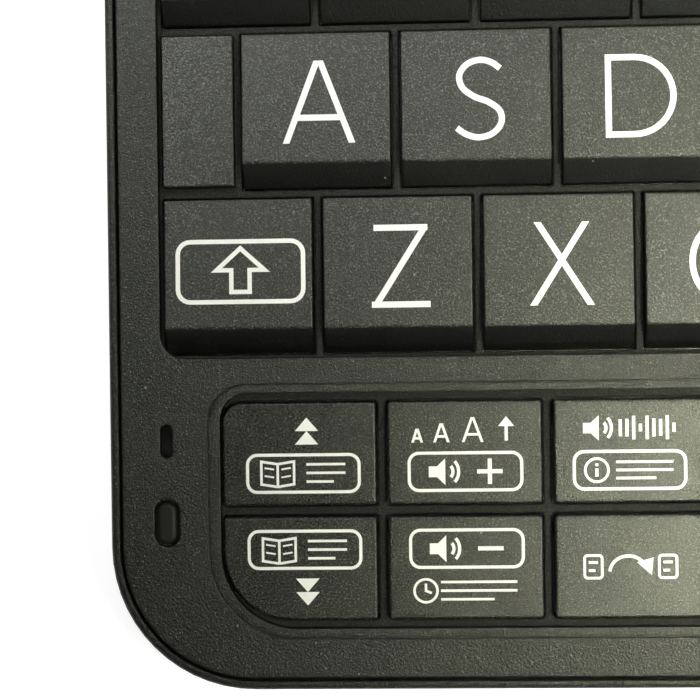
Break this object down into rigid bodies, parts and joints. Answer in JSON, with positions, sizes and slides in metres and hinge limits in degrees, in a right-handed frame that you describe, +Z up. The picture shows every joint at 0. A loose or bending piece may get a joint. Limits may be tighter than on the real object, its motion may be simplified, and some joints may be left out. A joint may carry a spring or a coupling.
{
  "type": "electronic dictionary",
  "caption": "Pocket electronic dictionary: keyboard base with a battery barrel and a hinged display lid.",
  "frame": {"origin": "on the table under the middle of the open dictionary", "axes": "+X to the right of the keyboard, +Y from the front edge to the hinge, +Z up"},
  "size_m": [0.148, 0.141, 0.0965],
  "materials": {
    "panel": "fine spark-eroded texture",
    "keys": "fine satin grain",
    "case": "satin",
    "rubber": "matt",
    "silicone": "matt",
    "board": "solder mask",
    "steel": "plated",
    "cell": "plain jacket",
    "screen": "clear over a dark display",
    "module": "pressed sheet"
  },
  "bodies": {
    "base": {"base_lower_case": "case", "base_top_panel": "panel", "key_mat": "silicone", "main_board": "board", "speaker": "steel", "shortcut_keys": "keys", "bumper_left": "rubber", "bumper_right": "rubber", "rubber_foot_front": "rubber", "rubber_foot_rear": "rubber", "battery_spring": "steel", "battery_left": "cell", "battery_right": "cell", "hinge_pin_left": "steel", "hinge_pin_right": "steel"},
    "lid": {"lid_shell": "case", "lid_bezel": "panel", "display_glass": "screen", "display_module": "module"},
    "battery_cover": {"battery_cover": "case"},
    "key_q": {"key_q": "keys"},
    "key_w": {"key_w": "keys"},
    "key_e": {"key_e": "keys"},
    "key_r": {"key_r": "keys"},
    "key_t": {"key_t": "keys"},
    "key_y": {"key_y": "keys"},
    "key_u": {"key_u": "keys"},
    "key_i": {"key_i": "keys"},
    "key_o": {"key_o": "keys"},
    "key_p": {"key_p": "keys"},
    "key_a": {"key_a": "keys"},
    "key_s": {"key_s": "keys"},
    "key_d": {"key_d": "keys"},
    "key_f": {"key_f": "keys"},
    "key_g": {"key_g": "keys"},
    "key_h": {"key_h": "keys"},
    "key_j": {"key_j": "keys"},
    "key_k": {"key_k": "keys"},
    "key_l": {"key_l": "keys"},
    "key_z": {"key_z": "keys"},
    "key_x": {"key_x": "keys"},
    "key_c": {"key_c": "keys"},
    "key_v": {"key_v": "keys"},
    "key_b": {"key_b": "keys"},
    "key_n": {"key_n": "keys"},
    "key_m": {"key_m": "keys"},
    "key_shift": {"key_shift": "keys"},
    "key_delete": {"key_delete": "keys"},
    "key_next_entry": {"key_next_entry": "keys"},
    "key_previous_entry": {"key_previous_entry": "keys"},
    "key_volume_down": {"key_volume_down": "keys"},
    "key_volume_up": {"key_volume_up": "keys"},
    "key_jump": {"key_jump": "keys"},
    "key_speech": {"key_speech": "keys"},
    "key_back": {"key_back": "keys"},
    "key_left": {"key_left": "keys"},
    "key_down": {"key_down": "keys"},
    "key_up": {"key_up": "keys"},
    "key_right": {"key_right": "keys"},
    "key_enter": {"key_enter": "keys"}
  },
  "joints": [
    {"name": "lid_hinge", "type": "hinge", "parent": "base", "child": "lid", "pos_m": [0, 0.02536, 0.0098], "axis": [-1, 0, 0], "range_deg": [-115, 35]},
    {"name": "battery_cover_slide", "type": "slide", "parent": "base", "child": "battery_cover", "axis": [0, 1, 0], "range_m": [0, 0.03]},
    {"name": "press_q", "type": "slide", "parent": "base", "child": "key_q", "axis": [0, 0, 1], "range_m": [-0.0008, 0], "stiffness_N_per_m": 400, "deforming": ["key_mat"]},
    {"name": "press_w", "type": "slide", "parent": "base", "child": "key_w", "axis": [0, 0, 1], "range_m": [-0.0008, 0], "stiffness_N_per_m": 400, "deforming": ["key_mat"]},
    {"name": "press_e", "type": "slide", "parent": "base", "child": "key_e", "axis": [0, 0, 1], "range_m": [-0.0008, 0], "stiffness_N_per_m": 400, "deforming": ["key_mat"]},
    {"name": "press_r", "type": "slide", "parent": "base", "child": "key_r", "axis": [0, 0, 1], "range_m": [-0.0008, 0], "stiffness_N_per_m": 400, "deforming": ["key_mat"]},
    {"name": "press_t", "type": "slide", "parent": "base", "child": "key_t", "axis": [0, 0, 1], "range_m": [-0.0008, 0], "stiffness_N_per_m": 400, "deforming": ["key_mat"]},
    {"name": "press_y", "type": "slide", "parent": "base", "child": "key_y", "axis": [0, 0, 1], "range_m": [-0.0008, 0], "stiffness_N_per_m": 400, "deforming": ["key_mat"]},
    {"name": "press_u", "type": "slide", "parent": "base", "child": "key_u", "axis": [0, 0, 1], "range_m": [-0.0008, 0], "stiffness_N_per_m": 400, "deforming": ["key_mat"]},
    {"name": "press_i", "type": "slide", "parent": "base", "child": "key_i", "axis": [0, 0, 1], "range_m": [-0.0008, 0], "stiffness_N_per_m": 400, "deforming": ["key_mat"]},
    {"name": "press_o", "type": "slide", "parent": "base", "child": "key_o", "axis": [0, 0, 1], "range_m": [-0.0008, 0], "stiffness_N_per_m": 400, "deforming": ["key_mat"]},
    {"name": "press_p", "type": "slide", "parent": "base", "child": "key_p", "axis": [0, 0, 1], "range_m": [-0.0008, 0], "stiffness_N_per_m": 400, "deforming": ["key_mat"]},
    {"name": "press_a", "type": "slide", "parent": "base", "child": "key_a", "axis": [0, 0, 1], "range_m": [-0.0008, 0], "stiffness_N_per_m": 400, "deforming": ["key_mat"]},
    {"name": "press_s", "type": "slide", "parent": "base", "child": "key_s", "axis": [0, 0, 1], "range_m": [-0.0008, 0], "stiffness_N_per_m": 400, "deforming": ["key_mat"]},
    {"name": "press_d", "type": "slide", "parent": "base", "child": "key_d", "axis": [0, 0, 1], "range_m": [-0.0008, 0], "stiffness_N_per_m": 400, "deforming": ["key_mat"]},
    {"name": "press_f", "type": "slide", "parent": "base", "child": "key_f", "axis": [0, 0, 1], "range_m": [-0.0008, 0], "stiffness_N_per_m": 400, "deforming": ["key_mat"]},
    {"name": "press_g", "type": "slide", "parent": "base", "child": "key_g", "axis": [0, 0, 1], "range_m": [-0.0008, 0], "stiffness_N_per_m": 400, "deforming": ["key_mat"]},
    {"name": "press_h", "type": "slide", "parent": "base", "child": "key_h", "axis": [0, 0, 1], "range_m": [-0.0008, 0], "stiffness_N_per_m": 400, "deforming": ["key_mat"]},
    {"name": "press_j", "type": "slide", "parent": "base", "child": "key_j", "axis": [0, 0, 1], "range_m": [-0.0008, 0], "stiffness_N_per_m": 400, "deforming": ["key_mat"]},
    {"name": "press_k", "type": "slide", "parent": "base", "child": "key_k", "axis": [0, 0, 1], "range_m": [-0.0008, 0], "stiffness_N_per_m": 400, "deforming": ["key_mat"]},
    {"name": "press_l", "type": "slide", "parent": "base", "child": "key_l", "axis": [0, 0, 1], "range_m": [-0.0008, 0], "stiffness_N_per_m": 400, "deforming": ["key_mat"]},
    {"name": "press_z", "type": "slide", "parent": "base", "child": "key_z", "axis": [0, 0, 1], "range_m": [-0.0008, 0], "stiffness_N_per_m": 400, "deforming": ["key_mat"]},
    {"name": "press_x", "type": "slide", "parent": "base", "child": "key_x", "axis": [0, 0, 1], "range_m": [-0.0008, 0], "stiffness_N_per_m": 400, "deforming": ["key_mat"]},
    {"name": "press_c", "type": "slide", "parent": "base", "child": "key_c", "axis": [0, 0, 1], "range_m": [-0.0008, 0], "stiffness_N_per_m": 400, "deforming": ["key_mat"]},
    {"name": "press_v", "type": "slide", "parent": "base", "child": "key_v", "axis": [0, 0, 1], "range_m": [-0.0008, 0], "stiffness_N_per_m": 400, "deforming": ["key_mat"]},
    {"name": "press_b", "type": "slide", "parent": "base", "child": "key_b", "axis": [0, 0, 1], "range_m": [-0.0008, 0], "stiffness_N_per_m": 400, "deforming": ["key_mat"]},
    {"name": "press_n", "type": "slide", "parent": "base", "child": "key_n", "axis": [0, 0, 1], "range_m": [-0.0008, 0], "stiffness_N_per_m": 400, "deforming": ["key_mat"]},
    {"name": "press_m", "type": "slide", "parent": "base", "child": "key_m", "axis": [0, 0, 1], "range_m": [-0.0008, 0], "stiffness_N_per_m": 400, "deforming": ["key_mat"]},
    {"name": "press_shift", "type": "slide", "parent": "base", "child": "key_shift", "axis": [0, 0, 1], "range_m": [-0.0008, 0], "stiffness_N_per_m": 400, "deforming": ["key_mat"]},
    {"name": "press_delete", "type": "slide", "parent": "base", "child": "key_delete", "axis": [0, 0, 1], "range_m": [-0.0008, 0], "stiffness_N_per_m": 400, "deforming": ["key_mat"]},
    {"name": "press_next_entry", "type": "slide", "parent": "base", "child": "key_next_entry", "axis": [0, 0, 1], "range_m": [-0.0008, 0], "stiffness_N_per_m": 400, "deforming": ["key_mat"]},
    {"name": "press_previous_entry", "type": "slide", "parent": "base", "child": "key_previous_entry", "axis": [0, 0, 1], "range_m": [-0.0008, 0], "stiffness_N_per_m": 400, "deforming": ["key_mat"]},
    {"name": "press_volume_down", "type": "slide", "parent": "base", "child": "key_volume_down", "axis": [0, 0, 1], "range_m": [-0.0008, 0], "stiffness_N_per_m": 400, "deforming": ["key_mat"]},
    {"name": "press_volume_up", "type": "slide", "parent": "base", "child": "key_volume_up", "axis": [0, 0, 1], "range_m": [-0.0008, 0], "stiffness_N_per_m": 400, "deforming": ["key_mat"]},
    {"name": "press_jump", "type": "slide", "parent": "base", "child": "key_jump", "axis": [0, 0, 1], "range_m": [-0.0008, 0], "stiffness_N_per_m": 400, "deforming": ["key_mat"]},
    {"name": "press_speech", "type": "slide", "parent": "base", "child": "key_speech", "axis": [0, 0, 1], "range_m": [-0.0008, 0], "stiffness_N_per_m": 400, "deforming": ["key_mat"]},
    {"name": "press_back", "type": "slide", "parent": "base", "child": "key_back", "axis": [0, 0, 1], "range_m": [-0.0008, 0], "stiffness_N_per_m": 400, "deforming": ["key_mat"]},
    {"name": "press_left", "type": "slide", "parent": "base", "child": "key_left", "axis": [0, 0, 1], "range_m": [-0.0008, 0], "stiffness_N_per_m": 400, "deforming": ["key_mat"]},
    {"name": "press_down", "type": "slide", "parent": "base", "child": "key_down", "axis": [0, 0, 1], "range_m": [-0.0008, 0], "stiffness_N_per_m": 400, "deforming": ["key_mat"]},
    {"name": "press_up", "type": "slide", "parent": "base", "child": "key_up", "axis": [0, 0, 1], "range_m": [-0.0008, 0], "stiffness_N_per_m": 400, "deforming": ["key_mat"]},
    {"name": "press_right", "type": "slide", "parent": "base", "child": "key_right", "axis": [0, 0, 1], "range_m": [-0.0008, 0], "stiffness_N_per_m": 400, "deforming": ["key_mat"]},
    {"name": "press_enter", "type": "slide", "parent": "base", "child": "key_enter", "axis": [0, 0, 1], "range_m": [-0.0008, 0], "stiffness_N_per_m": 400, "deforming": ["key_mat"]}
  ]
}
